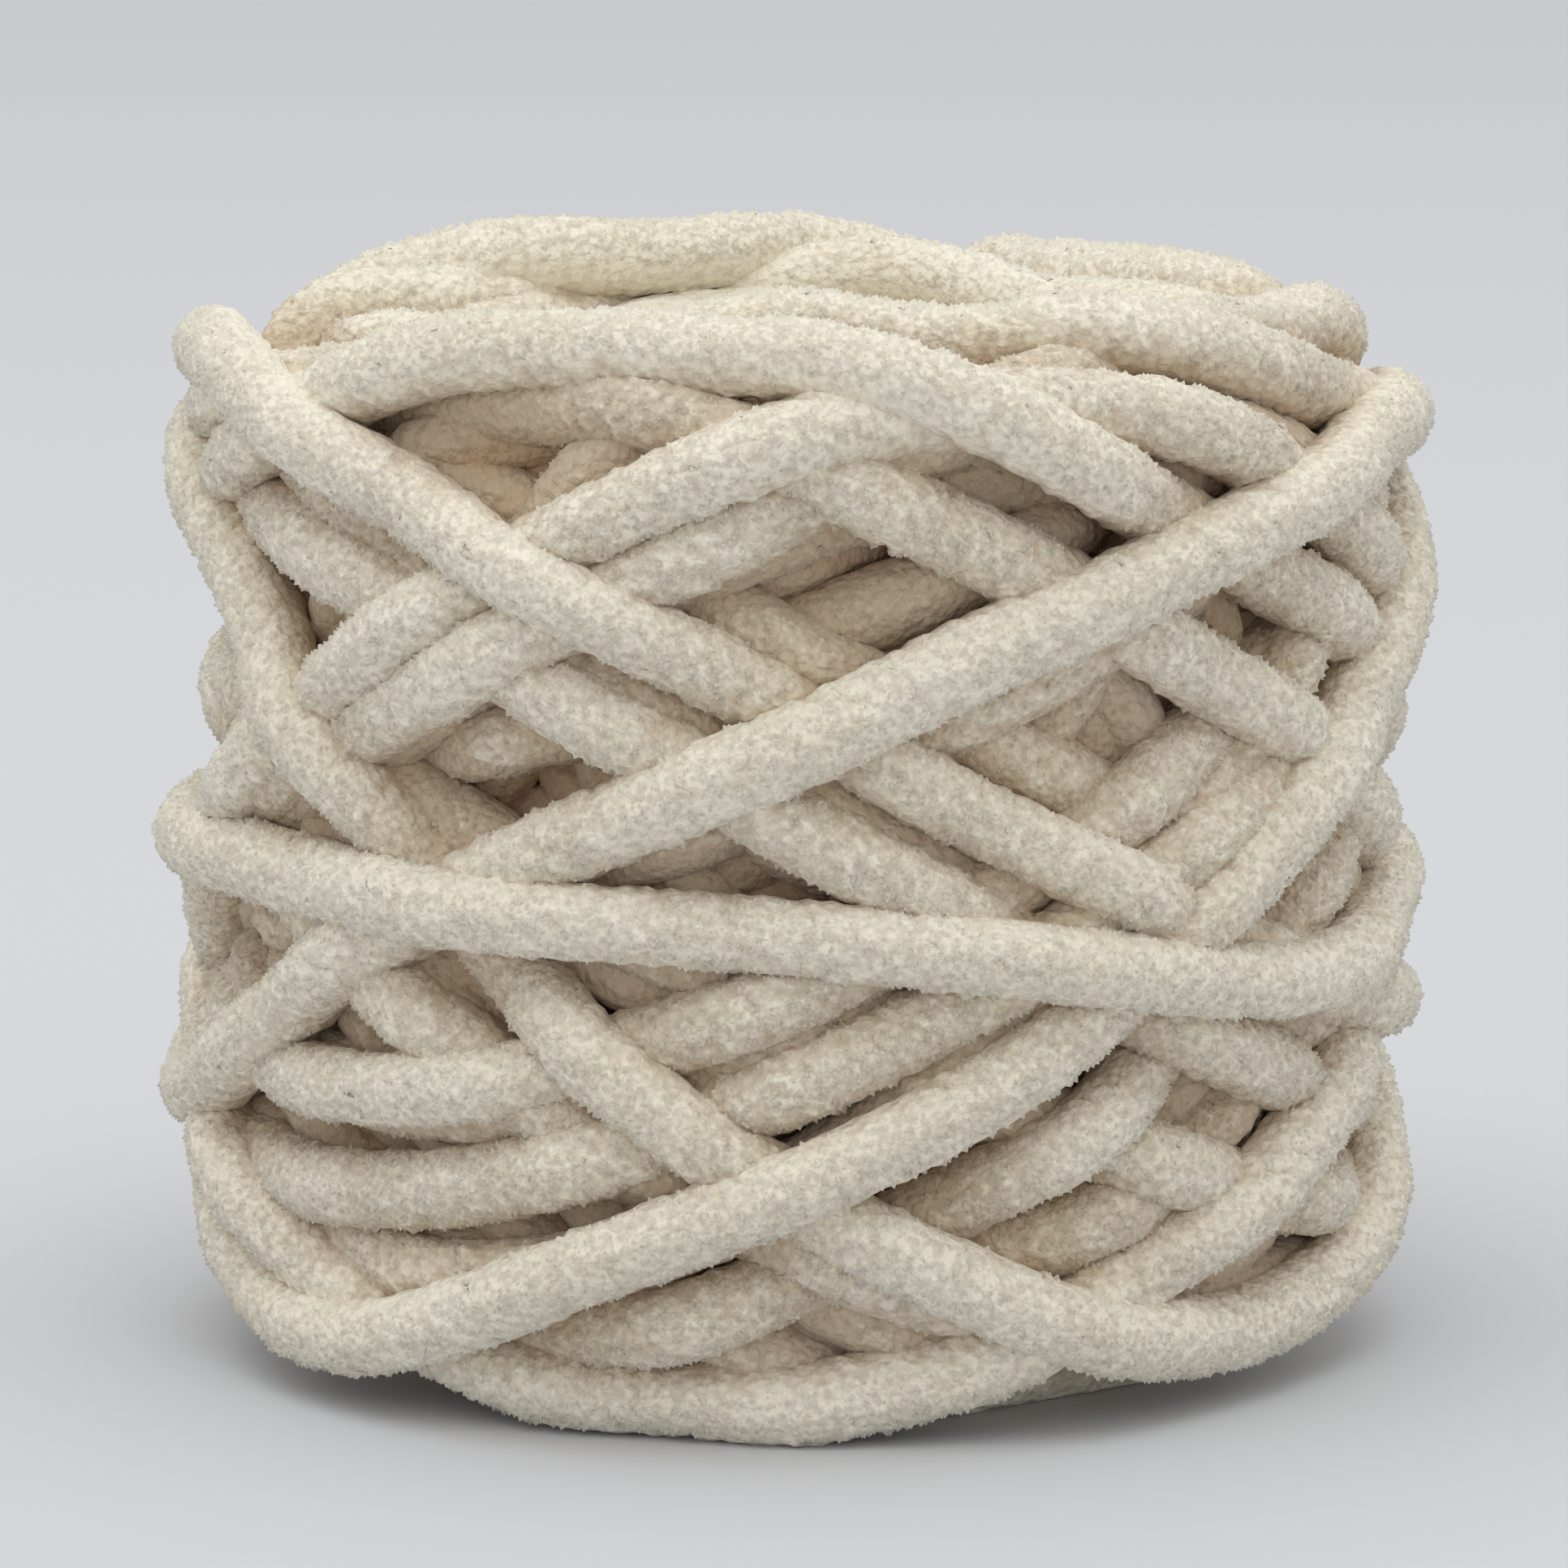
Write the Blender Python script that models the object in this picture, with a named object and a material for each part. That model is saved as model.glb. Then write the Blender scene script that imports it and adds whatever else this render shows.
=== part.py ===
"""A ball of chunky chenille yarn, machine-wound into a squat drum with a hollow in its top.

The ball is one solid: a packed body, with the outermost turns of yarn standing proud of it
as they cross on their way round. Metres, +Z up, the centre of the base at the origin, and
the side where two long turns cross faces -Y.
"""

import math

import bmesh
import bpy
import numpy as np

# Driving sizes of the packed body, in metres.
BODY_RADIUS = 0.0518
BODY_TOP = 0.0935
BODY_BOTTOM = -0.0020
TOP_RIM = 0.0145
BOTTOM_RIM = 0.0130
HOLLOW_MOUTH = 0.0130
HOLLOW_FLOOR = 0.0085
HOLLOW_DEPTH = 0.0160
HOLLOW_LIP = 0.0030

# The yarn, and the block that trims the foot flat at height 0.
YARN_DIAMETER = 0.0068
TRIM_WIDTH = 0.2
TRIM_DEPTH = 0.02

# Facets.
BODY_SEGMENTS = 32
RIM_STEPS = 4
SIDE_STEPS = 5
LIP_STEPS = 2
TURN_STEPS = 30
TURN_SIDES = 6
SECTION_SAMPLES = 800

# Finish of the yarn.
YARN_COLOUR = (0.62, 0.56, 0.47, 1.0)
YARN_ROUGHNESS = 0.95

# Each outer turn lies in a plane tilted across the ball. On the side, its height is
# middle + rise * cos(azimuth - peak), plus a dip where the yarn was pulled down. Azimuth
# is 0 at the front and positive towards +X. Lift is how far the yarn's centre stands off
# the body. The rows run from the first turn wound to the last.
DIP_SPREAD_DEG = 40.0
TURN_COLUMNS = ("name", "peak_deg", "middle", "rise", "dip", "dip_at_deg", "lift")
TURN_ROWS = (
    ("over_top_right", 60.0, 0.0840, 0.029, 0.000, 0.0, -0.0006),
    ("over_top_left", -70.0, 0.0840, 0.028, 0.000, 0.0, -0.0004),
    ("over_top_back", -165.0, 0.0740, 0.058, 0.000, 0.0, -0.0002),
    ("high_rim", 0.0, 0.0840, 0.010, 0.000, 0.0, 0.0000),
    ("cross_back_left", -40.0, 0.0500, 0.030, 0.000, 0.0, 0.0000),
    ("cross_back_right", 55.0, 0.0400, 0.028, 0.000, 0.0, 0.0002),
    ("low_front", 168.0, 0.0330, 0.028, 0.000, 0.0, 0.0003),
    ("high_front", -15.0, 0.0640, 0.032, 0.000, 0.0, 0.0006),
    ("steep_left", -128.0, 0.0490, 0.039, 0.000, 0.0, 0.0008),
    ("fall_to_right", -85.0, 0.0620, 0.030, 0.000, 0.0, 0.0014),
    ("steep_right", 132.0, 0.0450, 0.038, 0.000, 0.0, 0.0012),
    ("fall_to_left", 85.0, 0.0610, 0.024, -0.014, -100.0, 0.0019),
    ("waist", -90.0, 0.0455, 0.003, -0.005, 58.0, 0.0024),
)


def clear_scene():
    """Removes whatever the file opened with."""
    for thing in list(bpy.data.objects):
        bpy.data.objects.remove(thing, do_unlink=True)


def arc(centre, size, start_deg, end_deg, steps):
    """Points (radius, height) on a circle of the section, angles measured from straight out."""
    angles = np.radians(np.linspace(start_deg, end_deg, steps + 1))
    return [(centre[0] + size * math.cos(a), centre[1] + size * math.sin(a)) for a in angles]


def drum_section(rim_steps, side_steps):
    """Half section of the drum, from the edge of its base up to the edge of its top."""
    low_centre = (BODY_RADIUS - BOTTOM_RIM, BODY_BOTTOM + BOTTOM_RIM)
    high_centre = (BODY_RADIUS - TOP_RIM, BODY_TOP - TOP_RIM)
    low = arc(low_centre, BOTTOM_RIM, -90.0, 0.0, rim_steps)
    high = arc(high_centre, TOP_RIM, 0.0, 90.0, rim_steps)
    heights = np.linspace(low_centre[1], high_centre[1], side_steps + 1)[1:-1]
    return low + [(BODY_RADIUS, height) for height in heights] + high


def body_section():
    """The drum's section with the hollow turned into its top, from axis to axis."""
    lip_centre = (HOLLOW_MOUTH + HOLLOW_LIP, BODY_TOP - HOLLOW_LIP)
    lip = arc(lip_centre, HOLLOW_LIP, 90.0, 180.0, LIP_STEPS)
    floor = BODY_TOP - HOLLOW_DEPTH
    hollow = lip + [(HOLLOW_FLOOR, floor), (0.0, floor)]
    return [(0.0, BODY_BOTTOM)] + drum_section(RIM_STEPS, SIDE_STEPS) + hollow


def winding_section():
    """The closed drum section that turns are laid on, sampled evenly, with its normals."""
    corners = np.array([(0.0, BODY_BOTTOM)] + drum_section(16, 2) + [(0.0, BODY_TOP)])
    travel = np.concatenate(([0.0], np.cumsum(np.hypot(*np.diff(corners, axis=0).T))))
    even = np.linspace(0.0, travel[-1], SECTION_SAMPLES)
    radius = np.interp(even, travel, corners[:, 0])
    height = np.interp(even, travel, corners[:, 1])
    slope = np.stack((np.gradient(height), -np.gradient(radius)), axis=1)
    return radius, height, slope / np.linalg.norm(slope, axis=1)[:, None]


def turn_centres(turn, section):
    """Centres of one turn's yarn and the body's normals there, at even azimuths."""
    radius, height, normal = section
    azimuth = np.linspace(-math.pi, math.pi, TURN_STEPS, endpoint=False)
    swing = np.cos(azimuth - math.radians(turn["peak_deg"]))
    off_dip = np.degrees(azimuth) - turn["dip_at_deg"]
    off_dip = (off_dip + 180.0) % 360.0 - 180.0
    middle = turn["middle"] + turn["dip"] * np.exp(-((off_dip / DIP_SPREAD_DEG) ** 2))
    plane = middle[:, None] + turn["rise"] * swing[:, None] * radius / BODY_RADIUS
    where = np.argmax(height >= plane, axis=1)
    out, up = normal[where].T
    normals = np.stack((out * np.sin(azimuth), -out * np.cos(azimuth), up), axis=1)
    on_body = np.stack(
        (radius[where] * np.sin(azimuth), -radius[where] * np.cos(azimuth), height[where]), axis=1
    )
    return on_body + turn["lift"] * normals, normals


def smooth_ring(points, passes):
    """Evens out a closed row of points by averaging each with its neighbours."""
    for _ in range(passes):
        points = 0.5 * points + 0.25 * (np.roll(points, 1, axis=0) + np.roll(points, -1, axis=0))
    return points


def make_mesh_object(name, vertices, faces):
    """A mesh object of that name, linked into the scene."""
    mesh = bpy.data.meshes.new(name)
    mesh.from_pydata([tuple(v) for v in vertices], [], faces)
    mesh.validate()
    thing = bpy.data.objects.new(name, mesh)
    bpy.context.scene.collection.objects.link(thing)
    return thing


def make_turn(turn, section):
    """A closed ring of yarn along one turn, as a guide for the union."""
    centres, normals = turn_centres(turn, section)
    centres = smooth_ring(centres, 1)
    along = np.roll(centres, -1, axis=0) - np.roll(centres, 1, axis=0)
    along /= np.linalg.norm(along, axis=1)[:, None]
    across = np.cross(along, normals)
    across /= np.linalg.norm(across, axis=1)[:, None]
    outward = np.cross(across, along)
    spin = np.linspace(0.0, 2.0 * math.pi, TURN_SIDES, endpoint=False)[None, :, None]
    ring = np.cos(spin) * outward[:, None] + np.sin(spin) * across[:, None]
    vertices = (centres[:, None] + 0.5 * YARN_DIAMETER * ring).reshape(-1, 3)
    faces = []
    for step in range(TURN_STEPS):
        ahead = (step + 1) % TURN_STEPS
        for side in range(TURN_SIDES):
            beside = (side + 1) % TURN_SIDES
            corners = ((step, side), (ahead, side), (ahead, beside), (step, beside))
            faces.append([a * TURN_SIDES + b for a, b in corners])
    return as_guide(make_mesh_object("turn_" + turn["name"], vertices, faces))


def as_guide(thing):
    """Marks an object that only shapes another and isn't a part of the ball."""
    thing.hide_render = True
    thing.display_type = "WIRE"
    return face_outward(thing)


def face_outward(thing):
    """Points every face of a closed mesh outward."""
    sheet = bmesh.new()
    sheet.from_mesh(thing.data)
    bmesh.ops.recalc_face_normals(sheet, faces=sheet.faces)
    sheet.to_mesh(thing.data)
    sheet.free()
    return thing


def make_body():
    """The packed body: its section spun about the ball's axis."""
    sheet = bmesh.new()
    row = [sheet.verts.new((radius, 0.0, height)) for radius, height in body_section()]
    edges = [sheet.edges.new(pair) for pair in zip(row, row[1:])]
    bmesh.ops.spin(
        sheet,
        geom=row + edges,
        cent=(0.0, 0.0, 0.0),
        axis=(0.0, 0.0, 1.0),
        angle=2.0 * math.pi,
        steps=BODY_SEGMENTS,
        use_merge=True,
    )
    bmesh.ops.remove_doubles(sheet, verts=sheet.verts, dist=1e-6)
    mesh = bpy.data.meshes.new("yarn_ball")
    sheet.to_mesh(mesh)
    sheet.free()
    body = bpy.data.objects.new("yarn_ball", mesh)
    bpy.context.scene.collection.objects.link(body)
    return face_outward(body)


def make_foot_trim():
    """The block that trims everything below height 0, which leaves the flat resting spot."""
    half = TRIM_WIDTH / 2
    corners = [(x, y, z) for z in (-TRIM_DEPTH, 0.0) for y in (-half, half) for x in (-half, half)]
    faces = [(0, 1, 3, 2), (4, 5, 7, 6), (0, 1, 5, 4), (2, 3, 7, 6), (0, 2, 6, 4), (1, 3, 7, 5)]
    return as_guide(make_mesh_object("foot_trim", corners, faces))


def combine(body, tool, operation):
    """Adds one Boolean to the body. So many turns cross here that EXACT loses the body."""
    step = body.modifiers.new(operation.title() + " " + tool.name, "BOOLEAN")
    step.operation = operation
    step.object = tool
    step.solver = "MANIFOLD"


def apply_modifiers(body):
    """Makes the evaluated body its own mesh."""
    graph = bpy.context.evaluated_depsgraph_get()
    mesh = bpy.data.meshes.new_from_object(body.evaluated_get(graph))
    body.modifiers.clear()
    body.data = mesh


def connected(start):
    """All the vertices that can be reached from one along edges."""
    found = {start}
    waiting = [start]
    while waiting:
        vertex = waiting.pop()
        beside = {edge.other_vert(vertex) for edge in vertex.link_edges} - found
        found |= beside
        waiting += beside
    return found


def drop_crumbs(body):
    """Fills the specks of space that are sealed in where turns cross, keeping the ball's skin."""
    sheet = bmesh.new()
    sheet.from_mesh(body.data)
    skin = connected(max(sheet.verts, key=lambda vertex: vertex.co.x))
    crumbs = [vertex for vertex in sheet.verts if vertex not in skin]
    bmesh.ops.delete(sheet, geom=crumbs, context="VERTS")
    sheet.to_mesh(body.data)
    sheet.free()


def yarn_material():
    """Undyed chenille: matt, a warm off-white."""
    material = bpy.data.materials.new("yarn")
    material.use_nodes = True
    surface = material.node_tree.nodes["Principled BSDF"]
    surface.inputs["Base Color"].default_value = YARN_COLOUR
    surface.inputs["Roughness"].default_value = YARN_ROUGHNESS
    surface.inputs["Metallic"].default_value = 0.0
    return material


def main():
    """Builds the ball."""
    clear_scene()
    body = make_body()
    body.data.materials.append(yarn_material())
    section = winding_section()
    for row in TURN_ROWS:
        combine(body, make_turn(dict(zip(TURN_COLUMNS, row)), section), "UNION")
    combine(body, make_foot_trim(), "DIFFERENCE")
    apply_modifiers(body)
    drop_crumbs(body)
    body.data.shade_smooth()


main()
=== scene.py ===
# %% [markdown]
# A ball of chunky chenille yarn
#
# The real thing is one long piece of chenille, a cord of short velvety pile, that a machine
# has wound into a squat drum. The machine tilts each turn, so the yarn climbs on one side
# and falls on the other, and it lets every new turn cross the ones below. The drum ends up
# with layers of crossing strands, diamond gaps between them, and a hollow in the top where
# the winding spindle sat. Here the yarn is built the way it is made: the turns are laid one
# by one on a drum, pressed against each other until they carry one another, and only then
# given their round body and their pile.

# %% Load the frame
import math

import bpy
import numpy as np
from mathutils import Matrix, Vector


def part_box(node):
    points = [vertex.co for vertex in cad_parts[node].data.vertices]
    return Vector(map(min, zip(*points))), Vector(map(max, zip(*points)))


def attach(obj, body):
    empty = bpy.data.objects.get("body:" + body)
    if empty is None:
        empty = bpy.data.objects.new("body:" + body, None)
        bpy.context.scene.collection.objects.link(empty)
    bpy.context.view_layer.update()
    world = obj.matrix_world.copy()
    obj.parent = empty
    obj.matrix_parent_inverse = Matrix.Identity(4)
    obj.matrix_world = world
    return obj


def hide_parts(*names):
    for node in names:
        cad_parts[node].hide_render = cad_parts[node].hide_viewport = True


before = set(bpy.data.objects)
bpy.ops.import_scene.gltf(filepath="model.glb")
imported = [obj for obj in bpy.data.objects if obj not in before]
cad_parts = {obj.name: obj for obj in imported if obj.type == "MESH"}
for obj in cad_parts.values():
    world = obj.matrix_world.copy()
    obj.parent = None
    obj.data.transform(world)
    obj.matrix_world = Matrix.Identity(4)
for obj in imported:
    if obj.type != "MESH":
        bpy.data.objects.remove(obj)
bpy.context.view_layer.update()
low_corner, high_corner = (np.array(corner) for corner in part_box("yarn_ball"))
ball_radius = float(np.mean((high_corner - low_corner)[:2])) / 2
ball_height = float(high_corner[2])
print(f"ball {2000 * ball_radius:.0f} mm wide and {1000 * ball_height:.0f} mm high")

# %% [markdown]
# The surface that the turns are laid on
#
# Every turn lies on the same rounded drum, so that drum comes first. Its half section has
# a flat base, a rounded lower rim, a straight side, a rounder upper rim and a flat top.
# It is kept as a row of points at even steps along the section, because a place on the
# drum is then just two numbers: how far along the section, and at which azimuth. Azimuth
# is 0 at the front, which faces -Y, and grows towards +X.

# %% The drum's section
YARN_RADIUS = 0.0036
LAY_RADIUS = ball_radius - YARN_RADIUS - 0.0056
LAY_TOP = ball_height - YARN_RADIUS - 0.0018
LAY_BOTTOM = 0.0026
UPPER_RIM = 0.0065
LOWER_RIM = 0.0110
SECTION_SAMPLES = 1200
TURNING_SAMPLES = 101
RIM_SAMPLES = 24


def drum_section():
    """Half section of the drum: points (radius, height), outward normals, and its length.

    Two quarter circles are joined by straight runs, and the whole is read again at even
    steps of its length. A normal is the direction of travel given a quarter turn, averaged
    over TURNING_SAMPLES, so that yarn deep under a tight rim still turns gently.
    """
    angle = np.radians(np.linspace(0.0, 90.0, RIM_SAMPLES))
    quarter = np.stack((np.sin(angle), np.cos(angle)), 1)
    low = quarter * (LOWER_RIM, -LOWER_RIM) + (LAY_RADIUS - LOWER_RIM, LAY_BOTTOM + LOWER_RIM)
    high = quarter[::-1] * UPPER_RIM + (LAY_RADIUS - UPPER_RIM, LAY_TOP - UPPER_RIM)
    corners = np.vstack(((0.0, LAY_BOTTOM), low, high, (0.0, LAY_TOP)))
    travel = np.append(0.0, np.cumsum(np.linalg.norm(np.diff(corners, axis=0), axis=1)))
    even = np.linspace(0.0, travel[-1], SECTION_SAMPLES)
    points = np.stack([np.interp(even, travel, corners[:, k]) for k in (0, 1)], 1)
    ahead = np.gradient(points, axis=0)
    normals = np.pad((ahead[:, 1], -ahead[:, 0]), ((0, 0), (TURNING_SAMPLES // 2,) * 2), "edge")
    window = np.hanning(TURNING_SAMPLES + 2)[1:-1]
    normals = np.stack([np.convolve(row, window, "valid") for row in normals], 1)
    return points, normals / np.linalg.norm(normals, axis=1)[:, None], travel[-1]


section, section_normals, section_length = drum_section()
section_places = np.linspace(0.0, section_length, SECTION_SAMPLES)
print(f"section {1000 * section_length:.0f} mm from the base's centre to the top's centre")


def on_drum(place, azimuth):
    """Points and outward normals of the drum, for places along the section and azimuths.

    A section point (r, z) at azimuth a is (r sin a, -r cos a, z), and its normal likewise.
    """
    radius, height = (np.interp(place, section_places, section[:, k]) for k in (0, 1))
    out, up = (np.interp(place, section_places, section_normals[:, k]) for k in (0, 1))
    across = np.stack((np.sin(azimuth), -np.cos(azimuth)), -1)
    points = np.concatenate((radius[..., None] * across, height[..., None]), -1)
    normals = np.concatenate((out[..., None] * across, up[..., None]), -1)
    return points, normals / np.linalg.norm(normals, axis=-1, keepdims=True)


# %% [markdown]
# The turns
#
# A machine-wound turn lies close to a plane that is tilted across the drum, so three
# numbers describe it: the azimuth where it peaks, the height of its middle, and how far
# it rises from there to its peak. A fourth and fifth let a turn sag where the yarn was
# pulled down. The last turns are chosen one by one, because their order and slopes give
# the ball its face, and so are the lower turns that show between them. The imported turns
# under those follow a rule: each peaks a fixed angle further round than the one before,
# as on the winding machine, and they take turns at crossing the top, the waist and the
# base.

# %% The turns, from the first wound to the last
TURN_COLUMNS = ("peak_deg", "middle_mm", "rise_mm", "dip_mm", "dip_at_deg", "lift_mm")
LOWER_TURNS = (
    (40.0, 60.5, 22.0, 0.0, 0.0, -5.5),
    (-100.0, 54.6, 21.0, 0.0, 0.0, -5.5),
    (80.0, 44.0, 21.0, 0.0, 0.0, -5.5),
    (-104.0, 65.0, 33.0, 0.0, 0.0, -2.2),
    (82.0, 50.0, 24.0, 0.0, 0.0, -5.0),
    (104.0, 34.0, 24.0, 0.0, 0.0, -5.0),
    (146.0, 47.0, 60.0, 0.0, 0.0, -4.8),
    (172.0, 66.0, 58.0, 0.0, 0.0, -4.8),
    (-148.0, 49.0, 66.0, 0.0, 0.0, -4.6),
    (-118.0, 66.0, 60.0, 0.0, 0.0, -4.6),
    (-88.0, 52.0, 26.0, 0.0, 0.0, -4.4),
    (-62.0, 68.0, 58.0, 0.0, 0.0, -4.4),
    (-38.0, 47.0, 70.0, 0.0, 0.0, -4.0),
    (2.0, 64.0, 60.0, 0.0, 0.0, -4.0),
    (34.0, 50.0, 64.0, 0.0, 0.0, -3.8),
    (62.0, 67.0, 60.0, 0.0, 0.0, -3.8),
    (96.0, 72.0, 18.0, 0.0, 0.0, -3.8),
    (124.0, 69.0, 56.0, 0.0, 0.0, -3.4),
    (160.0, 54.0, 62.0, 0.0, 0.0, -3.2),
    (-172.0, 64.0, 60.0, 0.0, 0.0, -2.8),
    (-140.0, 60.0, 62.0, 0.0, 0.0, -2.8),
    (-102.0, 38.0, 24.0, 0.0, 0.0, -3.6),
    (-72.0, 62.0, 24.0, 0.0, 0.0, -3.6),
    (-30.0, 62.0, 66.0, 0.0, 0.0, -2.8),
    (10.0, 44.0, 72.0, 0.0, 0.0, -2.6),
    (48.0, 64.0, 60.0, 0.0, 0.0, -2.6),
    (104.0, 63.0, 22.0, 0.0, 0.0, -3.0),
    (150.0, 66.0, 52.0, 0.0, 0.0, -1.5),
    (-150.0, 62.0, 56.0, 0.0, 0.0, -1.0),
    (-142.0, 52.0, 62.0, 0.0, 0.0, -0.5),
)
LAST_TURNS = (
    (-165.0, 66.0, 50.0, 0.0, 0.0, -4.4),
    (-90.0, 38.0, 24.0, 0.0, 0.0, -3.0),
    (136.0, 56.0, 28.0, 0.0, 0.0, -3.0),
    (141.0, 38.0, 30.0, 0.0, 0.0, -2.5),
    (-127.0, 35.0, 28.0, 0.0, 0.0, -2.0),
    (33.0, 55.0, 30.0, 0.0, 0.0, -2.0),
    (25.0, 59.0, 30.0, 0.0, 0.0, -2.0),
    (-93.0, 59.0, 28.0, 0.0, 0.0, -1.5),
    (122.0, 53.5, 25.0, 0.0, 0.0, -1.5),
    (-80.0, 50.0, 29.0, 0.0, 0.0, -2.0),
    (140.0, 58.0, 45.0, 0.0, 0.0, -1.5),
    (118.0, 44.5, 26.0, 0.0, 0.0, -1.0),
    (57.0, 67.6, 28.0, 0.0, 0.0, -1.0),
    (-39.0, 62.7, 30.0, 0.0, 0.0, -1.0),
    (20.0, 51.5, 38.0, 0.0, 0.0, -1.0),
    (0.0, 84.0, 10.0, 0.0, 0.0, 0.0),
    (168.0, 32.0, 28.0, 0.0, 0.0, 0.0),
    (-18.0, 66.0, 27.0, 0.0, 0.0, 0.0),
    (-128.0, 46.5, 39.0, 6.0, -75.0, -3.5),
    (-80.0, 59.5, 29.0, 0.0, 0.0, 0.5),
    (132.0, 45.0, 38.0, 5.0, -12.0, 0.5),
    (85.0, 60.2, 24.0, -14.0, -88.0, 1.0),
    (-90.0, 45.7, 2.0, -6.0, 58.0, 1.5),
)
DIP_SPREAD_DEG = 32.0
PACKED_TURNS = 24
PRECESSION_DEG = 52.0
PACKED_DEPTH_MM = 8.8
PACKED_TOP_MM = -5.0
PACKED_RISE_MM, RISE_CHANGE_MM, RISE_BEAT = 30.0, 7.0, 2.4
REACH_MM, REACH_STEP_MM, REACH_SPAN_MM = 18.0, 7.0, 26.0
WAIST_MM, WAIST_STEP_MM, WAIST_SPAN_MM = 30.0, 11.0, 36.0


def packed_turns():
    """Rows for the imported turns: top-crossing, waist and base-crossing turns in rotation.

    A turn that should cross the top at distance d from the axis has its middle at
    height - rise * d / radius, and one that crosses the base at d has it at rise * d / radius.
    """
    count = np.arange(PACKED_TURNS)
    peak = (count * PRECESSION_DEG) % 360.0 - 180.0
    rise = PACKED_RISE_MM + RISE_CHANGE_MM * np.sin(count * RISE_BEAT)
    reach = (REACH_MM + (count * REACH_STEP_MM) % REACH_SPAN_MM) / (1000.0 * LAY_RADIUS)
    over_top = 1000.0 * LAY_TOP - rise * reach
    over_base = 1000.0 * LAY_BOTTOM + rise * reach
    waist = WAIST_MM + (count * WAIST_STEP_MM) % WAIST_SPAN_MM
    middle = np.choose(count % 3, (over_top, waist, over_base))
    lift = np.linspace(-PACKED_DEPTH_MM, PACKED_TOP_MM, PACKED_TURNS)
    nothing = np.zeros(PACKED_TURNS)
    return np.stack((peak, middle, rise, nothing, nothing, lift), 1)


turns = np.vstack((packed_turns(), LOWER_TURNS, LAST_TURNS))
first_of_last = len(turns) - len(LAST_TURNS)
print(f"{len(turns)} turns, {first_of_last} of them wound before the last ones")

# %% [markdown]
# From turns to one continuous yarn
#
# A tilted plane meets each upright half section of the drum once, and that meeting point
# is where the turn lies at that azimuth. Turns are joined at the back: over a stretch of
# azimuth each one slides from its own plane to the next turn's plane. What results is one
# line from the first turn to the last, as on the real ball.

# %% Lay the yarn
TURN_SAMPLES = 180
JOIN_SHARE = 0.20
HOLLOW_RADIUS = 0.0150
FOOT_HOLLOW_RADIUS = 0.0080
PATH_PASSES = 3


def column_of(rows, name):
    """The named column of a table of turns, standing upright."""
    return rows[:, TURN_COLUMNS.index(name), None]


def meet_section(rows, azimuth):
    """Place along the section where each turn's plane meets it, for turns by azimuths.

    The plane's height at radius r is middle + dip + rise * cos(azimuth - peak) * r / R,
    and the first section point that is at least that high is where they meet.
    """
    peak, middle, rise, dip, dip_at = (column_of(rows, name) for name in TURN_COLUMNS[:5])
    away = (azimuth[None] - dip_at + 180.0) % 360.0 - 180.0
    sag = dip * np.exp(-((away / DIP_SPREAD_DEG) ** 2))
    slope = rise * np.cos(np.radians(azimuth[None] - peak)) / LAY_RADIUS
    plane = (middle + sag)[..., None] + slope[..., None] * section[:, 0]
    return section_places[np.argmax(1000.0 * section[:, 1] >= plane, axis=-1)]


def ease(share):
    """Goes from 0 to 1 with level ends: 3 x^2 - 2 x^3."""
    share = np.clip(share, 0.0, 1.0)
    return share * share * (3.0 - 2.0 * share)


def lay_yarn(rows):
    """One line through all the turns: place along the section, azimuth, lift and turn.

    In the last JOIN_SHARE of a turn its place moves halfway to the next turn's, and in
    the first JOIN_SHARE it comes from halfway to the turn before.
    """
    share = (np.arange(TURN_SAMPLES) + 0.5) / TURN_SAMPLES
    azimuth = 360.0 * share - 180.0
    place = meet_section(rows, azimuth)
    after = np.vstack((place[1:], place[-1:]))
    before = np.vstack((place[:1], place[:-1]))
    to_next = ease((share - 1.0 + JOIN_SHARE) / (2.0 * JOIN_SHARE))
    from_last = ease((JOIN_SHARE - share) / (2.0 * JOIN_SHARE))
    place = place * (1.0 - to_next - from_last) + after * to_next + before * from_last
    number = np.arange(len(rows))[:, None]
    lifts = column_of(rows, "lift_mm")[:, 0] / 1000.0
    lift = np.interp(number + share, np.arange(len(rows)) + 0.5, lifts)
    azimuth = np.radians(azimuth + 360.0 * number)
    return place.ravel(), azimuth.ravel(), lift.ravel(), (number + share).ravel()


def soften(values, passes):
    """Evens out a row of values by averaging each with its neighbours, ends kept."""
    for _ in range(passes):
        values = np.concatenate(
            (values[:1], 0.5 * values[1:-1] + 0.25 * (values[2:] + values[:-2]), values[-1:])
        )
    return values


def clear_of_hollows(place):
    """Keeps the yarn's centre off the hollow at the top and the dimple at the base."""
    return np.clip(place, FOOT_HOLLOW_RADIUS, section_length - HOLLOW_RADIUS - YARN_RADIUS)


place, azimuth, lift, turn_number = lay_yarn(turns)
place = soften(clear_of_hollows(place), PATH_PASSES)
points, _ = on_drum(place, azimuth)
travel = np.append(0.0, np.cumsum(np.linalg.norm(np.diff(points, axis=0), axis=1)))
print(f"{travel[-1]:.1f} m of yarn laid in {len(turns)} turns")


def read_at(distance):
    """Place, azimuth, lift and turn number of the yarn at distances along it."""
    return [np.interp(distance, travel, row) for row in (place, azimuth, lift, turn_number)]


# %% [markdown]
# Pressing the turns together
#
# Laid on one surface, crossing strands would run through each other. On the ball the later
# strand rides over the earlier one and both give a little. So the heights are settled like
# this: wherever two strands come closer than their squeezed thickness, the later one is
# pushed out and the earlier one in, half each, and between crossings the yarn's own
# tension evens the height out. A few hundred rounds of that, over all the crossings at
# once, leave every strand carried by the ones below.

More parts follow.
